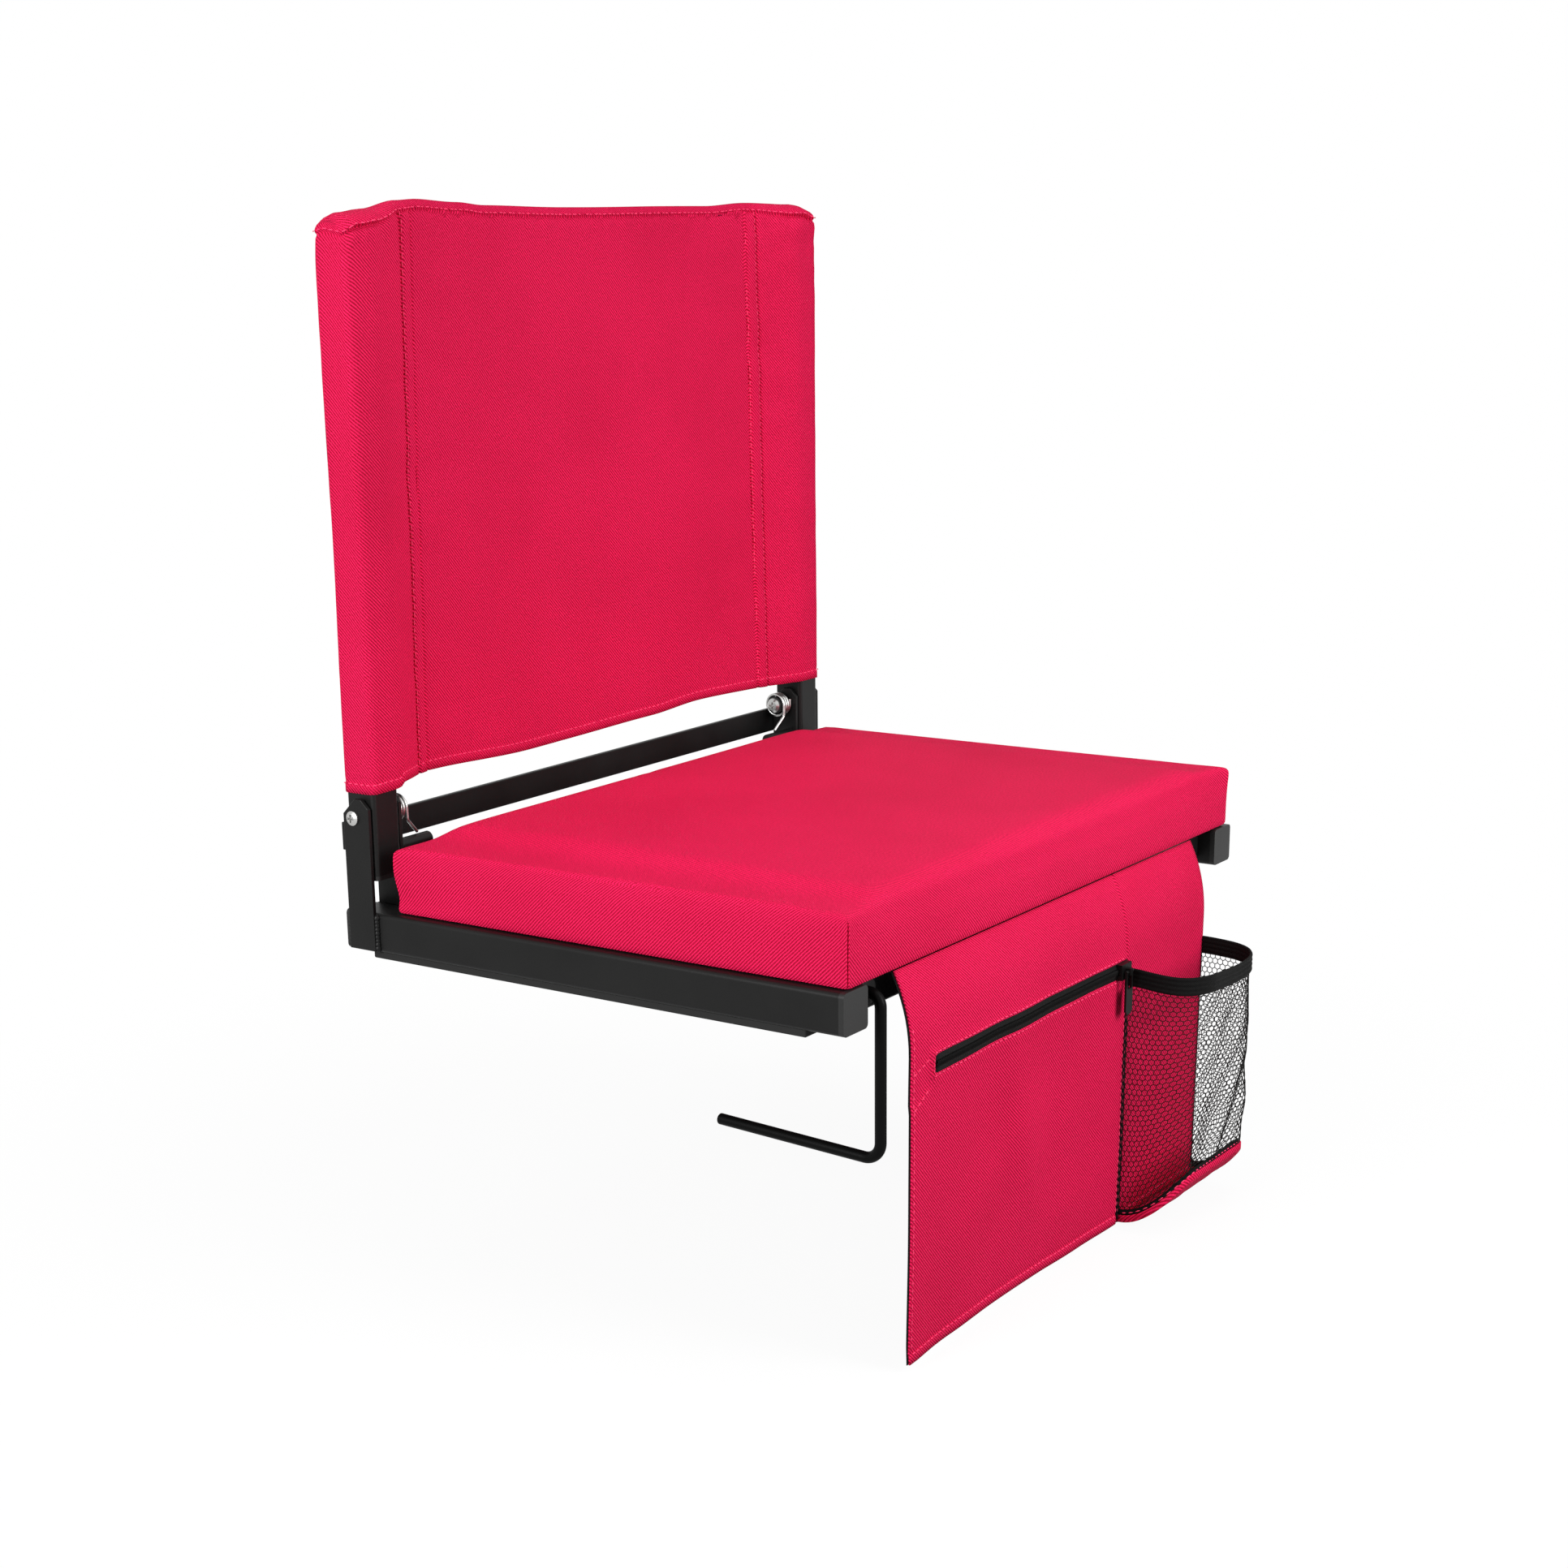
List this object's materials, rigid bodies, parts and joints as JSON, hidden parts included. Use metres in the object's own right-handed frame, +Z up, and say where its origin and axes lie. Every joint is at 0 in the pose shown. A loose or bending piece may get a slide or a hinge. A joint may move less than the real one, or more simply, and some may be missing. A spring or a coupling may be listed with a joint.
{
  "type": "stadium seat",
  "caption": "Folding bleacher seat with a tube frame, boxed cushion, spring-hinged fabric back, rod bench hook and a hanging front flap with zip and mesh cup pockets.",
  "frame": {"origin": "middle of the plane under the two foot strips, where the seat rests on the bench", "axes": "+Z up, the front of the seat faces -Y, +X to the right of someone looking at its front"},
  "size_m": [0.4496, 0.376, 0.5795],
  "materials": {
    "red_fabric": "woven twill",
    "black_fabric": "woven",
    "frame_black": "satin powder coat",
    "black_plastic": "matte",
    "black_rubber": "matte",
    "zinc_steel": "bright zinc",
    "nylon": "matte",
    "plywood": "raw",
    "zip_metal": "satin"
  },
  "bodies": {
    "seat_frame": {"left_rail": "frame_black", "right_rail": "frame_black", "left_foot_strip": "black_rubber", "right_foot_strip": "black_rubber", "front_rail_plugs": "black_plastic", "rear_rail_plugs": "black_plastic", "front_crossbar": "frame_black", "rear_crossbar": "frame_black", "left_outer_hinge_strap": "frame_black", "left_inner_hinge_strap": "frame_black", "right_outer_hinge_strap": "frame_black", "right_inner_hinge_strap": "frame_black", "hinge_weld_beads": "frame_black", "left_spring_anchor_pin": "frame_black", "right_spring_anchor_pin": "frame_black", "left_torsion_spring": "zinc_steel", "right_torsion_spring": "zinc_steel", "seat_board": "plywood", "cushion_under_cover": "black_fabric", "seat_screws": "zinc_steel", "seat_cushion": "red_fabric", "hook_bushings": "nylon"},
    "back": {"left_upright": "frame_black", "right_upright": "frame_black", "upright_top_plugs": "black_plastic", "upright_bottom_plugs": "black_plastic", "back_crossbar": "frame_black", "left_pivot_barrel": "zinc_steel", "right_pivot_barrel": "zinc_steel", "left_pivot_screw": "zinc_steel", "right_pivot_screw": "zinc_steel", "spring_hubs": "nylon", "pivot_washers": "nylon", "back_sleeve": "red_fabric"},
    "hook": {"bleacher_hook": "frame_black", "hook_washer": "zinc_steel", "hook_push_nut": "zinc_steel"},
    "flap": {"flap_panel": "red_fabric", "flap_lining": "black_fabric", "zip_tape": "black_fabric", "zip_coil": "black_plastic", "pocket_binding": "black_fabric", "mesh_pocket_band": "black_fabric", "mesh_pocket": "black_fabric", "mesh_pocket_base": "red_fabric"},
    "zip_slider": {"zip_slider": "zip_metal"},
    "zip_pull": {"zip_pull_tab": "zip_metal"}
  },
  "joints": [
    {"name": "back_fold", "type": "hinge", "parent": "seat_frame", "child": "back", "pos_m": [0, 0.147, 0.0785], "axis": [1, 0, 0], "range_deg": [0, 90], "stiffness_Nm_per_rad": 0.4, "springref_deg": -28.65},
    {"name": "hook_fold", "type": "hinge", "parent": "seat_frame", "child": "hook", "pos_m": [-0.183, -0.144, 0.017], "axis": [0, -1, 0], "range_deg": [0, 81]},
    {"name": "flap_lift", "type": "hinge", "parent": "seat_frame", "child": "flap", "pos_m": [0, -0.16365, 0.0253], "axis": [-1, 0, 0], "range_deg": [0, 80]},
    {"name": "zip_slide", "type": "slide", "parent": "flap", "child": "zip_slider", "axis": [-1, 0, 0], "range_m": [0, 0.19]},
    {"name": "pull_swing", "type": "hinge", "parent": "zip_slider", "child": "zip_pull", "pos_m": [0.055, -0.17967, -0.026], "axis": [-1, 0, 0], "range_deg": [0, 120]}
  ]
}
